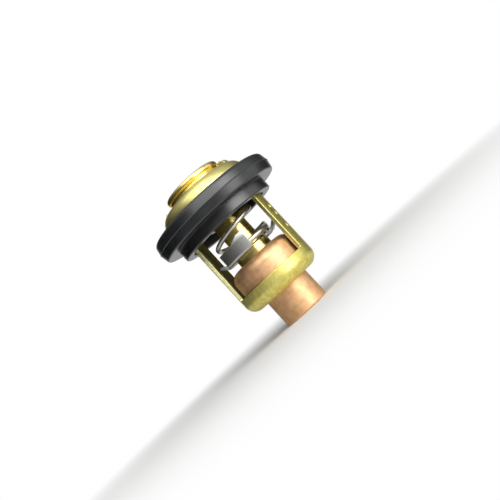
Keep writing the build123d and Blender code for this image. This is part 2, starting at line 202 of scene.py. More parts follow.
def choose(piece, kind, test):
    """Selects, in edit mode, the faces, edges or points whose middle passes the test.

    The test gets radius, azimuth in degrees and height in millimetres.
    """
    bpy.ops.mesh.select_mode(type={"faces": "FACE", "edges": "EDGE", "points": "VERT"}[kind])
    bpy.ops.mesh.select_all(action="DESELECT")
    mesh = bmesh.from_edit_mesh(piece.data)
    parts = {"faces": mesh.faces, "edges": mesh.edges, "points": mesh.verts}[kind]
    for part in parts:
        if kind == "points":
            middle = part.co
        elif kind == "edges":
            middle = (part.verts[0].co + part.verts[1].co) / 2
        else:
            middle = part.calc_center_median()
        x, y, z = middle / MM
        part.select = bool(test(math.hypot(x, y), math.degrees(math.atan2(y, x)), z))
    mesh.select_flush_mode()
    bmesh.update_edit_mesh(piece.data)


def choose_points(piece, *points):
    """Selects, in edit mode, the mesh point nearest to each given point in metres."""
    bpy.ops.mesh.select_mode(type="VERT")
    bpy.ops.mesh.select_all(action="DESELECT")
    mesh = bmesh.from_edit_mesh(piece.data)
    for point in points:
        min(mesh.verts, key=lambda vert: (vert.co - point).length).select = True
    mesh.select_flush_mode()
    bmesh.update_edit_mesh(piece.data)


def draw_outline(name, corners, closed, azimuth=0.0):
    """Wire outline in the plane of one azimuth, from (radius, height, corner radius) points."""
    clear_selection()
    spots = [place(radius, azimuth, height) for radius, height, _ in corners]
    bpy.ops.mesh.primitive_plane_add(size=MM, location=spots[0])
    piece = bpy.context.object
    piece.name = piece.data.name = name
    settle(piece)
    bpy.ops.object.mode_set(mode="EDIT")
    bpy.ops.mesh.select_mode(type="VERT")
    bpy.ops.mesh.select_all(action="SELECT")
    bpy.ops.mesh.merge(type="CENTER")
    for here, there in zip(spots, spots[1:]):
        bpy.ops.mesh.extrude_region_move(TRANSFORM_OT_translate={"value": there - here})
    if closed:
        choose_points(piece, spots[0], spots[-1])
        bpy.ops.mesh.edge_face_add()
    count = len(corners)
    for index, (_, _, edge) in enumerate(corners):
        if edge:
            before = (spots[index] - spots[index - 1]).normalized()
            after = (spots[(index + 1) % count] - spots[index]).normalized()
            reach = edge * MM * math.tan(before.angle(after) / 2)
            choose_points(piece, spots[index])
            bpy.ops.mesh.bevel(
                offset_type="OFFSET",
                offset=reach,
                segments=max(3, round(8 * math.sqrt(edge))),
                profile=0.5,
                affect="VERTICES",
            )
    return piece


def spin(piece, steps=160, degrees=360.0):
    """Turns the selected outline about the axis and closes the skin that it leaves."""
    bpy.ops.mesh.select_all(action="SELECT")
    bpy.ops.mesh.spin(steps=steps, angle=math.radians(degrees), center=(0, 0, 0), axis=(0, 0, 1))
    tidy_skin()


def tidy_skin():
    """Doubles merged, and all faces turned outwards."""
    bpy.ops.mesh.select_all(action="SELECT")
    bpy.ops.mesh.remove_doubles(threshold=2e-6)
    bpy.ops.mesh.select_all(action="SELECT")
    bpy.ops.mesh.normals_make_consistent(inside=False)


def modify(piece, kind, **settings):
    """Adds a modifier with the given settings and applies it."""
    take(piece)
    modifier = piece.modifiers.new(kind.title(), kind)
    for name, value in settings.items():
        setattr(modifier, name, value)
    bpy.ops.object.modifier_apply(modifier=modifier.name)


def round_edges(piece, width, segments=3, sharp=0.7):
    """Rounds the edges that turn by more than an angle in radians."""
    modify(
        piece,
        "BEVEL",
        width=width * MM,
        segments=segments,
        limit_method="ANGLE",
        angle_limit=sharp,
    )


def thicken(piece, sheet):
    """Gives a skin its thickness, on the side that its faces turn away from."""
    modify(piece, "SOLIDIFY", thickness=sheet * MM, offset=-1.0, use_even_offset=True)


def smooth(piece, angle=32.0):
    """Smooth shading between faces that meet at less than an angle, led by the large faces."""
    take(piece)
    bpy.ops.object.shade_smooth_by_angle(angle=math.radians(angle))
    modify(piece, "WEIGHTED_NORMAL", keep_sharp=True, weight=80)


def turned(name, *corners, steps=160):
    """Piece turned on the lathe from (radius, height, corner radius) points."""
    closed = corners[0][0] > 0
    piece = draw_outline(name, corners, closed)
    spin(piece, steps)
    smooth(piece)
    return piece


def cut(piece, cutter):
    """Takes the cutter out of the piece and throws it away."""
    modify(piece, "BOOLEAN", operation="DIFFERENCE", object=cutter, solver="EXACT")
    bpy.data.objects.remove(cutter)


def join(piece, other):
    """The other made part of the piece."""
    take(piece)
    other.select_set(True)
    bpy.ops.object.join()


def arc_block(name, corners, azimuth, half_angle, steps):
    """Closed block with the given outline, swept round the axis and centred on an azimuth.

    Spin turns clockwise from above, so the outline is drawn at the far end of the arc.
    """
    piece = draw_outline(name, corners, True, azimuth + half_angle)
    bpy.ops.mesh.select_all(action="SELECT")
    bpy.ops.mesh.edge_face_add()
    bpy.ops.mesh.spin(
        steps=steps, angle=math.radians(2 * half_angle), center=(0, 0, 0), axis=(0, 0, 1)
    )
    tidy_skin()
    clear_selection()
    return piece


def slice_skin(piece, azimuths):
    """New edges across the selected faces, at upright planes through the axis."""
    mesh = bmesh.from_edit_mesh(piece.data)
    layer = mesh.faces.layers.int.get("chosen") or mesh.faces.layers.int.new("chosen")
    for face in mesh.faces:
        face[layer] = int(face.select)
    bmesh.update_edit_mesh(piece.data)
    for azimuth in azimuths:
        angle = math.radians(azimuth)
        mesh = bmesh.from_edit_mesh(piece.data)
        layer = mesh.faces.layers.int["chosen"]
        bpy.ops.mesh.select_mode(type="FACE")
        bpy.ops.mesh.select_all(action="DESELECT")
        for face in mesh.faces:
            face.select = bool(face[layer])
        mesh.select_flush_mode()
        bmesh.update_edit_mesh(piece.data)
        bpy.ops.mesh.bisect(plane_co=(0, 0, 0), plane_no=(-math.sin(angle), math.cos(angle), 0))


def drop_faces(piece, test):
    """Deletes the faces that pass the test."""
    choose(piece, "faces", test)
    bpy.ops.mesh.delete(type="FACE")


def off_line(azimuth):
    """Degrees from the nearer end of the X axis."""
    return min(abs(azimuth), 180 - abs(azimuth))


# ---------------------------------------------------------------- pieces
def make_cage():
    """Drawn cup and two legs of one sheet, tab ends folded over the crown, three punch marks."""
    corners = (
        (CUP_HOLE, BULB_LENGTH, 0),
        (CAGE_RADIUS, BULB_LENGTH, CUP_CORNER),
        (CAGE_RADIUS, CUP_RIM, 0),
        (CAGE_RADIUS, LEG_TOP, 0),
        (CAGE_RADIUS, TAB_TOP, 0),
    )
    cage = draw_outline("cage_body", corners, False)
    spin(cage, 144)
    choose(cage, "faces", lambda r, a, z: z > CUP_RIM)
    slice_skin(cage, (LEG_HALF_ANGLE, -LEG_HALF_ANGLE, TAB_HALF_ANGLE, -TAB_HALF_ANGLE))
    drop_faces(cage, lambda r, a, z: z > CUP_RIM and off_line(a) > LEG_HALF_ANGLE)
    drop_faces(cage, lambda r, a, z: z > LEG_TOP and off_line(a) > TAB_HALF_ANGLE)
    tidy_skin()
    thicken(cage, CAGE_WALL)
    bpy.ops.object.mode_set(mode="EDIT")
    choose(
        cage,
        "edges",
        lambda r, a, z: abs(z - CUP_RIM) < NEAR
        and abs(off_line(a) - LEG_HALF_ANGLE) < NEAR_ANGLE
        and CAGE_RADIUS - CAGE_WALL + CAGE_EDGE < r < CAGE_RADIUS - CAGE_EDGE,
    )
    bpy.ops.mesh.bevel(offset=LEG_FILLET * MM, segments=4, affect="EDGES")
    clear_selection()
    round_edges(cage, CAGE_EDGE)
    punch_marks(cage)
    for azimuth in (0, 180):
        join(cage, make_folded_end(azimuth))
    smooth(cage)
    return cage


def punch_marks(cage):
    """Three round punch marks in a leg, their rims rounded over."""
    centres = [place(CAGE_RADIUS, MARK_AZIMUTH, height) for height in MARK_HEIGHTS]
    for centre in centres:
        clear_selection()
        bpy.ops.mesh.primitive_cylinder_add(
            vertices=28,
            radius=MARK_RADIUS * MM,
            depth=2 * MARK_DEPTH * MM,
            location=centre,
            rotation=(0, math.pi / 2, math.radians(MARK_AZIMUTH)),
        )
        punch = bpy.context.object
        settle(punch)
        cut(cage, punch)
    bpy.ops.object.mode_set(mode="EDIT")
    choose(
        cage,
        "edges",
        lambda r, a, z: r > CAGE_RADIUS - NEAR
        and any(
            abs((place(r, a, z) - centre).length / MM - MARK_RADIUS) < NEAR for centre in centres
        ),
    )
    bpy.ops.mesh.bevel(offset=MARK_EDGE * MM, segments=3, affect="EDGES")
    clear_selection()


def make_folded_end(azimuth):
    """End of a tab, folded in over the shoulder of the crown and hammered down.

    Its underside follows the crown, sunk a little into it.
    """
    corners = (
        (FOLD_INSIDE, CROWN_TOP - FOLD_SINK, 0),
        (CROWN_RADIUS - CROWN_SHOULDER + 0.2, CROWN_TOP - FOLD_SINK, 0),
        (FOLD_OUTSIDE, CROWN_TOP - 0.35, 0),
        (FOLD_OUTSIDE, FOLD_TOP, 1.2),
        (FOLD_INSIDE, FOLD_TOP, 0.3),
    )
    fold = arc_block("folded_end", corners, azimuth, TAB_HALF_ANGLE, 14)
    round_edges(fold, FOLD_EDGE, 4, 0.9)
    return fold


def make_crown():
    """Drawn dome with the flat seat, round shoulder, gripped flange and two slots."""
    crown = turned(
        "crown_dome",
        (CROWN_RADIUS - CROWN_SHEET, FLANGE_BOTTOM, CROWN_SHEET),
        (FLANGE_RADIUS, FLANGE_BOTTOM, 0.2),
        (FLANGE_RADIUS, FLANGE_TOP, 0.2),
        (CROWN_RADIUS, FLANGE_TOP, 0.3),
        (CROWN_RADIUS, CROWN_TOP, CROWN_SHOULDER),
        (SEAT_OPENING, CROWN_TOP, 0.35),
        (SEAT_OPENING, CROWN_TOP - CROWN_SHEET, 0.1),
        (CROWN_RADIUS - CROWN_SHEET, CROWN_TOP - CROWN_SHEET, CROWN_SHOULDER - CROWN_SHEET),
        steps=192,
    )
    inner = CAGE_RADIUS - CAGE_WALL - SLOT_GAP
    outer = CAGE_RADIUS - TAB_OVERLAP
    top = CROWN_TOP + OVERRUN
    corners = ((inner, FLANGE_TOP, 0), (outer, FLANGE_TOP, 0), (outer, top, 0), (inner, top, 0))
    for azimuth in (0, 180):
        cut(crown, arc_block("slot", corners, azimuth, TAB_HALF_ANGLE + SLOT_GAP_ANGLE, 10))
    smooth(crown)
    return crown


def make_seal_ring():
    """Moulded ring: drafted rim with its parting line, spigot below, groove for the flange."""
    face_radius = RING_RADIUS - RIM_DRAFT
    flash_root = RING_RADIUS - FLASH_HEIGHT
    collar = CROWN_RADIUS + RUBBER_GAP
    groove = FLANGE_RADIUS + RUBBER_GAP
    return turned(
        "seal_ring_rubber",
        (RING_INSIDE, STEP_BOTTOM, 0.3),
        (STEP_RADIUS, STEP_BOTTOM, 0.35),
        (STEP_RADIUS, RIM_BOTTOM, 0.15),
        (face_radius, RIM_BOTTOM, 0.45),
        (flash_root, PARTING - FLASH_WIDTH / 2, 0.05),
        (RING_RADIUS, PARTING, 0.06),
        (flash_root, PARTING + FLASH_WIDTH / 2, 0.05),
        (face_radius, RIM_TOP, 1.0),
        (collar, RIM_TOP, 0.3),
        (collar, FLANGE_TOP, 0.4),
        (groove, FLANGE_TOP, 0),
        (groove, FLANGE_BOTTOM, 0),
        (RING_INSIDE, FLANGE_BOTTOM, 0.3),
        steps=224,
    )


def make_element_case():
    """Drawn copper case: bulb, body and turned-in top."""
    inside = CASE_RADIUS - CASE_WALL
    bulb_inside = BULB_RADIUS - CASE_WALL
    return turned(
        "copper_case",
        (0, 0, 0),
        (BULB_RADIUS, 0, 0.45),
        (BULB_RADIUS, CASE_FLOOR, 0.1),
        (CASE_RADIUS, CASE_FLOOR, CASE_FOOT),
        (CASE_RADIUS, CASE_TOP, CASE_SHOULDER),
        (COLLAR_RADIUS, CASE_TOP, 0.3),
        (COLLAR_RADIUS, CASE_TOP - CASE_WALL, 0),
        (inside, CASE_TOP - CASE_WALL, CASE_SHOULDER - CASE_WALL),
        (inside, CASE_FLOOR + CASE_WALL, CASE_FOOT - CASE_WALL),
        (bulb_inside, CASE_FLOOR + CASE_WALL, 0),
        (bulb_inside, CASE_WALL, 0.3),
        (0, CASE_WALL, 0),
    )


def make_guide():
    """Brass guide with its collar and neck."""
    inside = CASE_RADIUS - CASE_WALL
    roof = CASE_TOP - CASE_WALL
    return turned(
        "guide_collar",
        (CHAMBER_MOUTH, GUIDE_FOOT, 0),
        (inside, GUIDE_FOOT, 0),
        (inside, roof, CASE_SHOULDER - CASE_WALL),
        (COLLAR_RADIUS, roof, 0),
        (COLLAR_RADIUS, COLLAR_TOP, 0.25),
        (NECK_RADIUS, COLLAR_TOP, 0.1),
        (NECK_RADIUS, NECK_TOP, 0.3),
        (GUIDE_BORE, NECK_TOP, 0.1),
        (GUIDE_BORE, CHAMBER_TOP, 0),
        steps=128,
    )


def make_stem():
    """Brass stem: sleeve over the neck, swaged foot, riveted head."""
    return turned(
        "valve_stem_sleeve",
        (0, PISTON_TOP, 0),
        (GUIDE_BORE, PISTON_TOP, 0),
        (GUIDE_BORE, STEM_ROOF, 0),
        (STEM_BORE, STEM_ROOF, 0),
        (STEM_BORE, HUB_BOTTOM - SWAGE_SHEET, 0.08),
        (SWAGE_RADIUS, HUB_BOTTOM - SWAGE_SHEET, 0.12),
        (SWAGE_RADIUS, HUB_BOTTOM, 0),
        (STEM_SPIGOT, HUB_BOTTOM, 0),
        (STEM_SPIGOT, HUB_TOP, 0),
        (STEM_RADIUS, HUB_TOP, 0.1),
        (STEM_RADIUS, WEB_BOTTOM, 0.2),
        (RIVET_RADIUS, WEB_BOTTOM, 0),
        (RIVET_RADIUS, WEB_TOP, 0),
        (RIVET_HEAD, WEB_TOP, 0),
        (RIVET_HEAD, WEB_TOP + RIVET_HEIGHT, 0.4),
        (0, WEB_TOP + RIVET_HEIGHT, 0),
        steps=128,
    )


def make_disc():
    """Turned brass disc: lip, groove and band round its side, recessed web on top."""
    lip_top = DISC_FOOT + DISC_LIP
    band_bottom = DISC_TOP - DISC_BAND
    return turned(
        "valve_disc_turned",
        (DISC_INSIDE, DISC_FOOT, 0.15),
        (DISC_RADIUS, DISC_FOOT, 0.15),
        (DISC_RADIUS, lip_top, 0.12),
        (DISC_WAIST, lip_top + 0.12, 0.05),
        (DISC_WAIST, band_bottom - DISC_GROOVE_SLOPE, 0.1),
        (DISC_RADIUS, band_bottom, 0.15),
        (DISC_RADIUS, DISC_TOP, 0.7),
        (DISC_INSIDE, DISC_TOP, 0.3),
        (DISC_INSIDE, WEB_TOP, 0.3),
        (RIVET_RADIUS, WEB_TOP, 0),
        (RIVET_RADIUS, WEB_BOTTOM, 0),
        (DISC_INSIDE, WEB_BOTTOM, 0.2),
        steps=192,
    )


def from_wing(azimuth):
    """Degrees past the middle of the nearer wing of the retainer."""
    return (azimuth - WING_AZIMUTH + 90) % 180 - 90


def make_wings():
    """Hub and the two wings: stepped down to the floor, then bent up outside the coil."""
    corners = (
        (STEM_SPIGOT + SPIGOT_GAP, HUB_BOTTOM, 0),
        (HUB_RADIUS, HUB_BOTTOM, HUB_BEND),
        (HUB_RADIUS, FLOOR_BOTTOM, FLOOR_BEND),
        (WING_RADIUS, FLOOR_BOTTOM, FLOOR_BEND),
        (WING_RADIUS, WING_TOP, 0),
        (WING_RADIUS, HORN_TOP, 0),
    )
    wings = draw_outline("spring_retainer_sheet", corners, False)
    spin(wings, 120)
    low_edge = WING_AZIMUTH - WING_HALF_ANGLE
    high_edge = WING_AZIMUTH + WING_HALF_ANGLE
    horn_edge = high_edge - HORN_ANGLE
    root = HUB_RADIUS - HUB_BEND - 0.01
    choose(wings, "faces", lambda r, a, z: r > root)
    slice_skin(wings, (low_edge, high_edge, horn_edge))
    drop_faces(wings, lambda r, a, z: r > root and abs(from_wing(a)) > WING_HALF_ANGLE)
    drop_faces(wings, lambda r, a, z: z > WING_TOP and from_wing(a) < WING_HALF_ANGLE - HORN_ANGLE)
    run = WING_RADIUS * math.sin(math.radians(HORN_SLOPE_ANGLE))
    fall = math.atan((HORN_TOP - WING_TOP) / run)
    for turn in (0, 180):
        crest = math.radians(horn_edge + HORN_SLOPE_ANGLE + turn)
        tilt = (math.sin(fall) * math.sin(crest), -math.sin(fall) * math.cos(crest), math.cos(fall))
        choose(
            wings,
            "faces",
            lambda r, a, z: z > WING_TOP and math.cos(math.radians(a) - crest) > 0,
        )
        bpy.ops.mesh.bisect(plane_co=(0, 0, HORN_TOP * MM), plane_no=tilt, clear_outer=True)
    tidy_skin()
    thicken(wings, RETAINER_SHEET)
    return wings


def make_ears():
    """Two narrow ears from the hub, with ends bent up towards the legs.

    Their skin is open, so it may come out facing either way. It is made to face down, because
    it is drawn at the underside of the sheet.
    """
    corners = (
        (HUB_RADIUS - HUB_BEND - EAR_ROOT, HUB_BOTTOM, 0),
        (HUB_RADIUS, HUB_BOTTOM, HUB_BEND),
        (HUB_RADIUS, FLOOR_BOTTOM, FLOOR_BEND),
        (WING_INSIDE, FLOOR_BOTTOM, FLOOR_BEND),
        (EAR_REACH, FLOOR_BOTTOM + EAR_RISE, 0),
    )
    ears = draw_outline("retainer_ears", corners, False)
    spin(ears, 120)
    for side in (1, -1):
        bpy.ops.mesh.select_all(action="SELECT")
        bpy.ops.mesh.bisect(
            plane_co=(0, side * EAR_HALF_WIDTH * MM, 0), plane_no=(0, side, 0), clear_outer=True
        )
    tidy_skin()
    skin = bmesh.from_edit_mesh(ears.data)
    lowest = min(skin.faces, key=lambda face: face.calc_center_median().z)
    if lowest.normal.z > 0:
        bpy.ops.mesh.flip_normals()
    thicken(ears, RETAINER_SHEET)
    return ears


def make_retainer():
    """Pressed steel retainer: raised hub, two wings bent up outside the coil, two ears."""
    retainer = make_wings()
    join(retainer, make_ears())
    round_edges(retainer, RETAINER_EDGE)
    smooth(retainer)
    return retainer


def make_spring():
    """Round wire wound on a curve, with a closed coil at each end."""
    curve = bpy.data.curves.new("return_spring_wire", "CURVE")
    curve.dimensions = "3D"
    curve.bevel_depth = WIRE / 2 * MM
    curve.bevel_resolution = 4
    curve.use_fill_caps = True
    climb = COIL_TOP - COIL_BOTTOM - 2 * CLOSED_TURNS * CLOSED_PITCH
    total = ACTIVE_TURNS + 2 * CLOSED_TURNS
    steps = round(total * STEPS_A_TURN)
    line = curve.splines.new("POLY")
    line.points.add(steps)
    for step in range(steps + 1):
        turn = total * step / steps
        active = min(max(turn - CLOSED_TURNS, 0), ACTIVE_TURNS)
        ease = active / ACTIVE_TURNS
        height = COIL_BOTTOM + climb * ease + (turn - active) * CLOSED_PITCH
        spot = place(COIL_RADIUS, COIL_AZIMUTH + 360 * (turn - CLOSED_TURNS), height)
        line.points[step].co = (*spot, 1)
    spring = bpy.data.objects.new("return_spring_wire", curve)
    bpy.context.collection.objects.link(spring)
    take(spring)
    bpy.ops.object.convert(target="MESH")
    spring = bpy.context.object
    bpy.ops.object.mode_set(mode="EDIT")
    tidy_skin()
    smooth(spring, 50)
    return spring


# ---------------------------------------------------------------- materials
TYPICAL_RADIUS = 9.0


class Value:
    """A number, colour or vector from a node. Sums on it add Math nodes."""

    def __init__(self, nodes, socket):
        self.nodes = nodes
        self.socket = socket

    def _sum(self, operation, other, turned_round=False):
        values = {0: other, 1: self} if turned_round else {0: self, 1: other}
        return self.nodes.node("ShaderNodeMath", {"operation": operation}, values)

    def __add__(self, other):
        return self._sum("ADD", other)

    __radd__ = __add__

    def __sub__(self, other):
        return self._sum("SUBTRACT", other)

    def __rsub__(self, other):
        return self._sum("SUBTRACT", other, True)

    def __mul__(self, other):
        return self._sum("MULTIPLY", other)

    __rmul__ = __mul__

    def __truediv__(self, other):
        return self._sum("DIVIDE", other)

    def __pow__(self, other):
        return self._sum("POWER", other)

    def most(self, other):
        return self._sum("MAXIMUM", other)

    def between(self, low, high):
        """0 below low, 1 above high, and eased between them."""
        return self.nodes.node(
            "ShaderNodeMapRange",
            {"interpolation_type": "SMOOTHSTEP", "clamp": True},
            {0: self, 1: low, 2: high, 3: 0.0, 4: 1.0},
        )


class Nodes:
    """A node tree, and the one method that adds its nodes."""

    def __init__(self, tree):
        self.tree = tree

    def node(self, kind, settings, values, output=0):
        """Adds a node: settings first, then the values or links of its sockets."""
        node = self.tree.nodes.new(kind)
        for name, setting in settings.items():
            if name == "stops":
                stops = node.color_ramp.elements
                while len(stops) < len(setting):
                    stops.new(1.0)
                for stop, (position, grey) in zip(stops, setting):
                    stop.position = position
                    stop.color = (grey, grey, grey, 1.0)
            else:
                setattr(node, name, setting)
        for name, value in values.items():
            if isinstance(value, Value):
                self.tree.links.new(value.socket, node.inputs[name])
            else:
                node.inputs[name].default_value = value
        return Value(self, node.outputs[output]) if node.outputs else None

    def backdrop_ray(self, beyond):
        """1 for camera rays, and for glossy and transmission rays where beyond is 1."""
        camera = self.node("ShaderNodeLightPath", {}, {}, "Is Camera Ray")
        glossy = self.node("ShaderNodeLightPath", {}, {}, "Is Glossy Ray")
        through = self.node("ShaderNodeLightPath", {}, {}, "Is Transmission Ray")
        return camera.most(glossy.most(through) * beyond)


class Finish(Nodes):
    """A material under one Principled shader."""

    def __init__(self, name, metallic=0.0, **constants):
        self.material = bpy.data.materials.new(name)
        self.material.use_nodes = True
        super().__init__(self.material.node_tree)
        self.shader = self.tree.nodes["Principled BSDF"]
        self.shader.inputs["Metallic"].default_value = metallic
        for socket, value in constants.items():
            self.shader.inputs[socket.replace("_", " ")].default_value = value
        coordinates = self.node("ShaderNodeTexCoord", {}, {}, "Object")
        self.spot = self.node(
            "ShaderNodeVectorMath", {"operation": "SCALE"}, {0: coordinates, "Scale": 1 / MM}
        )
        x = self.node("ShaderNodeSeparateXYZ", {}, {0: self.spot}, "X")
        y = self.node("ShaderNodeSeparateXYZ", {}, {0: self.spot}, "Y")
        self.height = self.node("ShaderNodeSeparateXYZ", {}, {0: self.spot}, "Z")
        self.radius = (x * x + y * y + 1e-6) ** 0.5
        self.east = x / self.radius
        self.north = y / self.radius

    def noise(self, size, detail=2.0, rough=0.5):
        """Cloudy noise about 0.5, with blobs of a size in millimetres."""
        return self.node(
            "ShaderNodeTexNoise",
            {},
            {"Vector": self.spot, "Scale": 1.0 / size, "Detail": detail, "Roughness": rough},
        )

    def lines(self, around, up):
        """Noise in streaks, from how long they are round the axis and up it, in millimetres."""
        reach = TYPICAL_RADIUS / around
        vector = self.node(
            "ShaderNodeCombineXYZ",
            {},
            {0: self.east * reach, 1: self.north * reach, 2: self.height / up},
        )
        return self.node(
            "ShaderNodeTexNoise",
            {"noise_dimensions": "4D"},
            {"Vector": vector, "W": self.radius / up, "Scale": 1.0, "Detail": 3.0},
        )

    def blend(self, share, first, second):
        """Colour between two colours, by a share from 0 to 1."""
        values = {0: share}
        for index, colour in ((6, first), (7, second)):
            values[index] = colour if isinstance(colour, Value) else (*colour, 1.0)
        return self.node("ShaderNodeMix", {"data_type": "RGBA"}, values, 2)

    def set(self, socket, value):
        """Feeds a socket of the shader from a value that varies."""
        self.tree.links.new(value.socket, self.shader.inputs[socket])

    def relief(self, height, depth):
        """Bump of a depth in millimetres from a height between 0 and 1."""
        bump = self.node(
            "ShaderNodeBump", {}, {"Strength": 1.0, "Distance": depth * MM, "Height": height}
        )
        self.set("Normal", bump)


def drawn_brass():
    """Cage: satin drawn brass with an olive cast, mottled, with lines from the drawing. Painted
    shade darkens the inside of the cage; the cut edges, partly bare sheared metal, and the folded
    ends carry a painted highlight.
    """
    finish = Finish("cage_brass", 1.0, Anisotropic=0.35, Anisotropic_Rotation=0.25)
    cloud = finish.noise(1.1, 4.0, 0.62).between(0.34, 0.68)
    grain = finish.noise(0.20, 3.0, 0.6)
    lines = finish.lines(0.35, 5.0)
    share = (cloud * 0.6 + grain * 0.35 + lines * 0.2 - 0.1).between(0.0, 1.0)
    brass = finish.blend(share, (0.70, 0.61, 0.15), (0.93, 0.84, 0.28))
    sheet_inside = CAGE_RADIUS - CAGE_WALL
    above_rim = finish.height.between(CUP_RIM - 0.3, CUP_RIM - 0.1)
    folded = finish.height.between(TAB_TOP - 0.3, TAB_TOP + 0.2)
    outer = finish.radius.between(sheet_inside, sheet_inside + 0.25)
    # Painted shade: the inside of the sheet, from just under the cup rim up the legs, is painted
    # dark olive and made a little rougher.
    inner = (1 - outer) * finish.height.between(CUP_RIM - 2.0, CUP_RIM - 1.0) * (1 - folded)
    skin = finish.radius.between(CAGE_RADIUS - 0.2, CAGE_RADIUS - 0.03)
    # Painted highlight: the folded tab ends, and the cut edges of the legs, which are partly bare
    # sheared metal, are painted pale yellow and made a little smoother.
    sheared_metal_and_painted_highlight = (outer * (1 - skin) * above_rim).most(folded)
    # The painted shade inside the cage.
    brass = finish.blend(inner, brass, (0.22, 0.18, 0.04))
    finish.set("Base Color", finish.blend(sheared_metal_and_painted_highlight, brass, (0.97, 0.93, 0.46)))
    finish.set("Roughness", 0.44 + inner * 0.08 - cloud * 0.10 + grain * 0.08 - sheared_metal_and_painted_highlight * 0.06)
    finish.relief(cloud * 0.5 + grain * 0.4 + lines * 0.2, 0.03)
    return finish.material


def bright_brass():
    """Crown: bright drawn brass with faint drawing lines and light tarnish."""
    finish = Finish("crown_brass", 1.0, Anisotropic=0.45, Anisotropic_Rotation=0.25)
    cloud = finish.noise(2.4, 4.0, 0.6).between(0.35, 0.7)
    grain = finish.noise(0.25, 3.0, 0.6)
    lines = finish.lines(14.0, 0.20)
    finish.set(
        "Base Color",
        finish.blend(cloud * 0.6 + lines * 0.3, (0.95, 0.86, 0.36), (0.78, 0.66, 0.21)),
    )
    finish.set("Roughness", 0.33 + cloud * 0.06 + grain * 0.06)
    finish.relief(lines * 0.7 + grain * 0.3, 0.008)
    return finish.material


def golden_brass():
    """Valve disc: turned brass of a golden orange, a little blotched by handling, with a painted
    highlight on its lip, a paler band, and painted shade along its foot.
    """
    finish = Finish("valve_brass", 1.0, Anisotropic=0.4, Anisotropic_Rotation=0.25)
    cloud = finish.noise(1.6, 3.0, 0.5).between(0.38, 0.70)
    lines = finish.lines(20.0, 0.12)
    low = finish.blend(cloud * 0.6, (0.94, 0.68, 0.13), (0.74, 0.44, 0.05))
    band = finish.height.between(DISC_TOP - DISC_BAND - 0.15, DISC_TOP - DISC_BAND + 0.1)
    lip = finish.radius.between(DISC_WAIST + 0.1, DISC_RADIUS - 0.1)
    lip_top = DISC_FOOT + DISC_LIP
    lip = lip * (1 - finish.height.between(lip_top + 0.05, lip_top + 0.15))
    # Painted shade: the foot of the disc, where it sits on the crown, is painted dark brown.
    under = 1 - finish.height.between(DISC_FOOT + 0.28, DISC_FOOT + 0.40)
    # Painted highlight: the lip is painted pale cream, and the band is paler towards the same
    # cream.
    brass = finish.blend((band * 0.7).most(lip), low, (0.97, 0.84, 0.36))
    finish.set("Base Color", finish.blend(under, brass, (0.20, 0.10, 0.02)))
    finish.set("Roughness", 0.27 + cloud * 0.06 + lines * 0.04)
    finish.relief(lines, 0.005)
    return finish.material


def turned_brass(name):
    """Stem and guide: clean turned brass with fine lathe lines."""
    finish = Finish(name, 1.0, Anisotropic=0.4, Anisotropic_Rotation=0.25)
    lines = finish.lines(24.0, 0.12)
    cloud = finish.noise(2.2, 2.0, 0.5)
    finish.set("Base Color", finish.blend(cloud, (0.86, 0.73, 0.27), (0.76, 0.62, 0.20)))
    finish.set("Roughness", 0.25 + lines * 0.06)
    finish.relief(lines, 0.003)
    return finish.material


def brushed_copper():
    """Element case: bare copper, brushed round the axis, softly mottled."""
    finish = Finish("copper", 1.0, Anisotropic=0.3, Anisotropic_Rotation=0.25)
    cloud = finish.noise(1.4, 3.0, 0.55).between(0.32, 0.72)
    lines = finish.lines(5.0, 0.22)
    grain = finish.noise(0.18, 3.0, 0.6)
    share = (cloud * 0.45 + lines * 0.55 + grain * 0.3 - 0.25).between(0.0, 1.0)
    finish.set("Base Color", finish.blend(share, (0.94, 0.60, 0.33), (0.72, 0.39, 0.19)))
    finish.set("Roughness", 0.47 + lines * 0.10 - cloud * 0.05)
    finish.relief(lines * 0.6 + grain * 0.4, 0.012)
    return finish.material


def seal_rubber():
    """Seal ring: moulded black rubber with a satin skin."""
    finish = Finish("seal_rubber", 0.0, Specular_IOR_Level=0.95)
    bloom = finish.noise(3.5, 4.0, 0.6).between(0.35, 0.75)
    grain = finish.noise(0.20, 3.0, 0.6)
    finish.set("Base Color", finish.blend(bloom, (0.004, 0.005, 0.006), (0.010, 0.011, 0.013)))
    finish.set("Roughness", 0.27 + bloom * 0.05 + grain * 0.08)
    finish.relief(grain, 0.008)
    return finish.material


def membrane_rubber():
    """Membrane and plug: plain rubber, hidden in the case."""
    finish = Finish("membrane_rubber")
    grain = finish.noise(0.3, 3.0, 0.6)
    finish.set("Base Color", finish.blend(grain, (0.03, 0.03, 0.03), (0.06, 0.06, 0.058)))
    finish.set("Roughness", 0.6 + grain * 0.15)
    return finish.material


def spring_steel():
    """Spring: bright drawn wire."""
    finish = Finish("spring_steel", 1.0)
    grain = finish.noise(0.5, 3.0, 0.6)
    finish.set("Base Color", finish.blend(grain, (0.84, 0.82, 0.74), (0.66, 0.64, 0.57)))
    finish.set("Roughness", 0.34 + grain * 0.12)
    finish.relief(grain, 0.006)
    return finish.material


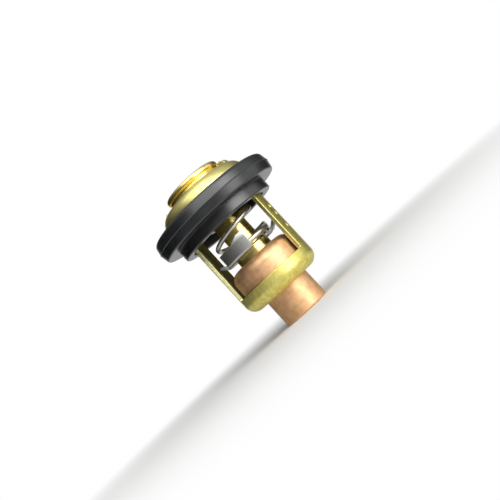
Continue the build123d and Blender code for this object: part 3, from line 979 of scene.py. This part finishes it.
def pressed_steel():
    """Retainer: pressed stainless sheet with rolling lines, a painted highlight on the tops of the
    wings and horns, and painted shade on the ear ends.
    """
    finish = Finish("retainer_steel", 1.0)
    grain = finish.noise(0.25, 3.0, 0.6)
    lines = finish.noise(0.9, 3.0, 0.6)
    # Painted highlight: the tops of the wings and the horns are painted near white.
    horn_painted_highlight = finish.height.between(WING_TOP - 0.5, WING_TOP + 0.4)
    # Painted shade: the ear ends, out past the wings, are painted dark grey.
    ears = finish.radius.between(WING_RADIUS + 0.05, WING_RADIUS + 0.3)
    steel = finish.blend(lines, (0.62, 0.62, 0.58), (0.44, 0.44, 0.42))
    steel = finish.blend(horn_painted_highlight, steel, (0.93, 0.92, 0.86))
    finish.set("Base Color", finish.blend(ears, steel, (0.30, 0.30, 0.28)))
    finish.set("Roughness", 0.30 + grain * 0.14)
    finish.relief(grain * 0.6 + lines * 0.4, 0.02)
    return finish.material


def ground_steel():
    """Piston: ground and polished steel."""
    finish = Finish("piston_steel", 1.0)
    lines = finish.lines(20.0, 0.05)
    finish.set("Base Color", finish.blend(lines, (0.66, 0.67, 0.68), (0.78, 0.78, 0.79)))
    finish.set("Roughness", 0.12 + lines * 0.10)
    return finish.material


def copper_wax():
    """Wax charge filled with copper powder."""
    finish = Finish("wax")
    specks = finish.noise(0.12, 3.0, 0.7).between(0.55, 0.62)
    finish.set("Base Color", finish.blend(specks, (0.52, 0.36, 0.24), (0.70, 0.42, 0.26)))
    finish.set("Metallic", specks * 0.8)
    finish.set("Roughness", 0.65 - specks * 0.25)
    return finish.material


def grease():
    """Semi-fluid fill over the membrane."""
    finish = Finish("fluid")
    cloud = finish.noise(1.2, 3.0, 0.5)
    finish.set("Base Color", finish.blend(cloud, (0.72, 0.71, 0.62), (0.80, 0.79, 0.72)))
    finish.set("Roughness", 0.30 + cloud * 0.10)
    return finish.material


def wafer_plastic():
    """White wafer over the plug."""
    finish = Finish("wafer_plastic")
    cloud = finish.noise(0.5, 3.0, 0.5)
    finish.set("Base Color", finish.blend(cloud, (0.86, 0.86, 0.83), (0.92, 0.92, 0.90)))
    finish.set("Roughness", 0.40 + cloud * 0.10)
    return finish.material


# ---------------------------------------------------------------- the object
PIECES = (
    (make_cage, "cage", "housing", drawn_brass, "cage_brass"),
    (make_crown, "crown", "housing", bright_brass, "crown_brass"),
    (make_seal_ring, "seal_ring", "housing", seal_rubber, "seal_rubber"),
    (make_element_case, "element_case", "housing", brushed_copper, "copper"),
    (make_guide, "element_guide", "housing", lambda: turned_brass("guide_brass"), "guide_brass"),
    (make_stem, "valve_stem", "valve", lambda: turned_brass("stem_brass"), "stem_brass"),
    (make_disc, "valve_disc", "valve", golden_brass, "valve_brass"),
    (make_retainer, "spring_retainer", "valve", pressed_steel, "retainer_steel"),
    (make_spring, "return_spring", "housing", spring_steel, "spring_steel"),
)
made = {}
for make, node, body, finish, slot in PIECES:
    piece = make()
    clear_selection()
    piece.data.materials.clear()
    piece.data.materials.append(finish())
    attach(piece, body)
    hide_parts(node)
    made[node] = piece

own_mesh(made["return_spring"])

KEPT_NODES = (
    (("wax_charge",), copper_wax),
    (("membrane", "piston_plug"), membrane_rubber),
    (("fluid_fill",), grease),
    (("plug_wafer",), wafer_plastic),
    (("piston",), ground_steel),
)
for nodes, finish in KEPT_NODES:
    material = finish()
    for node in nodes:
        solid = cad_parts[node]
        for slot in solid.material_slots:
            slot.material = material


# ---------------------------------------------------------------- floor, lamps, world and camera
FLOOR_RADIUS = 125.0
FLOOR_FADE = (0.2 * FLOOR_RADIUS, 0.9 * FLOOR_RADIUS)
FLOOR_COLOUR = (0.82, 0.82, 0.81, 1.0)
MIDDLE = Vector((0, 0, 22)) * MM
CAMERA_AZIMUTH = -75.5
CAMERA_DISTANCE = 173.9
CAMERA_HEIGHT = 9.69
CAMERA_YAW = 0.165
CAMERA_PITCH = 3.545
CAMERA_ROLL = 42.65
CAMERA_LENS = 50.4
CAMERA_SENSOR = 36.0
LAMP_DISTANCE = 400.0
LAMPS = (  # name, azimuth, elevation, width and height in metres, radiance
    ("key", -30, 9, 0.32, 0.30, 4.4),
    ("upper", -66, 34, 0.56, 0.20, 2.5),
    ("side", 15, 5, 0.24, 0.24, 1.0),
    ("top", -78, 70, 0.40, 0.26, 1.5),
)
STUDIO_TOP = (0.35, -0.25, 0.90)
STUDIO_GREYS = ((0.3, 0.015), (0.6, 0.06), (1.0, 0.65))
BACKDROP_SIDE = (-0.25, 0.968, 0.06)
BACKDROP_EDGE = ((0.94, 0.0), (0.97, 1.0))
WHITE = (1.0, 1.0, 1.0, 1.0)


def make_floor():
    """Plain pale floor that keeps the shadow and runs out into the white of the backdrop."""
    clear_selection()
    bpy.ops.mesh.primitive_circle_add(
        vertices=96, radius=FLOOR_RADIUS * MM, fill_type="NGON", location=(0, 0, 0)
    )
    floor = bpy.context.object
    floor.name = "floor"
    finish = Finish(
        "floor_card", Base_Color=FLOOR_COLOUR, Roughness=0.9, Specular_IOR_Level=0.1
    )
    away = math.radians(CAMERA_AZIMUTH + 180)
    behind = finish.east * math.cos(away) + finish.north * math.sin(away)
    seen = finish.backdrop_ray(behind.between(0.85, 0.95))
    glow = finish.node("ShaderNodeEmission", {}, {"Color": WHITE, "Strength": 1.0})
    plain = Value(finish, finish.shader.outputs[0])
    share = finish.radius.between(*FLOOR_FADE) * seen
    mixed = finish.node("ShaderNodeMixShader", {}, {0: share, 1: plain, 2: glow})
    output = finish.tree.nodes["Material Output"]
    finish.tree.links.new(mixed.socket, output.inputs["Surface"])
    floor.data.materials.append(finish.material)


def make_lamp(name, azimuth, elevation, width, height, radiance):
    """Soft lamp aimed at the middle of the object, as bright as its radiance from any side."""
    data = bpy.data.lights.new(name, "AREA")
    data.shape = "ELLIPSE"
    data.size = width
    data.size_y = height
    data.energy = radiance * math.pi * (math.pi / 4 * width * height)
    lamp = bpy.data.objects.new(name, data)
    bpy.context.collection.objects.link(lamp)
    lamp.visible_camera = False
    rise = math.radians(elevation)
    away = place(LAMP_DISTANCE * math.cos(rise), azimuth, LAMP_DISTANCE * math.sin(rise))
    lamp.location = MIDDLE + away
    lamp.rotation_mode = "QUATERNION"
    lamp.rotation_quaternion = (-away).to_track_quat("-Z", "Y")


def make_world():
    """White backdrop behind the object; a dim studio, darker on one side, everywhere else."""
    world = bpy.data.worlds.new("studio")
    bpy.context.scene.world = world
    world.use_nodes = True
    world.node_tree.nodes.clear()
    sky = Nodes(world.node_tree)
    gaze = sky.node("ShaderNodeTexCoord", {}, {}, "Generated")

    def shade(direction, stops):
        """Grey by how far a gaze turns towards the given direction."""
        towards = Vector(direction).normalized()
        turned = sky.node(
            "ShaderNodeVectorMath", {"operation": "DOT_PRODUCT"}, {0: gaze, 1: towards}, "Value"
        )
        share = sky.node("ShaderNodeMapRange", {}, {0: turned, 1: -1.0})
        return sky.node("ShaderNodeValToRGB", {"stops": stops}, {0: share})

    seen = sky.backdrop_ray(shade(BACKDROP_SIDE, BACKDROP_EDGE))
    studio = sky.node("ShaderNodeBackground", {}, {"Color": shade(STUDIO_TOP, STUDIO_GREYS)})
    backdrop = sky.node("ShaderNodeBackground", {}, {"Color": WHITE})
    mixed = sky.node("ShaderNodeMixShader", {}, {0: seen, 1: studio, 2: backdrop})
    sky.node("ShaderNodeOutputWorld", {}, {"Surface": mixed})


def make_camera():
    """Camera close to the object, nearly level with the cup and leaning to one side."""
    data = bpy.data.cameras.new("camera")
    data.sensor_width = CAMERA_SENSOR
    data.lens = CAMERA_LENS
    data.clip_start = 0.01
    camera = bpy.data.objects.new("camera", data)
    bpy.context.collection.objects.link(camera)
    camera.location = place(CAMERA_DISTANCE, CAMERA_AZIMUTH, CAMERA_HEIGHT)
    heading = math.radians(CAMERA_AZIMUTH + 180 + CAMERA_YAW)
    rise = math.radians(CAMERA_PITCH)
    flat = math.cos(rise)
    gaze = Vector((flat * math.cos(heading), flat * math.sin(heading), math.sin(rise)))
    camera.rotation_mode = "QUATERNION"
    lean = Quaternion((0, 0, 1), math.radians(-CAMERA_ROLL))
    camera.rotation_quaternion = gaze.to_track_quat("-Z", "Y") @ lean
    bpy.context.scene.camera = camera


make_floor()
make_world()
make_camera()
for lamp_values in LAMPS:
    make_lamp(*lamp_values)

bpy.context.scene.view_settings.view_transform = "Standard"
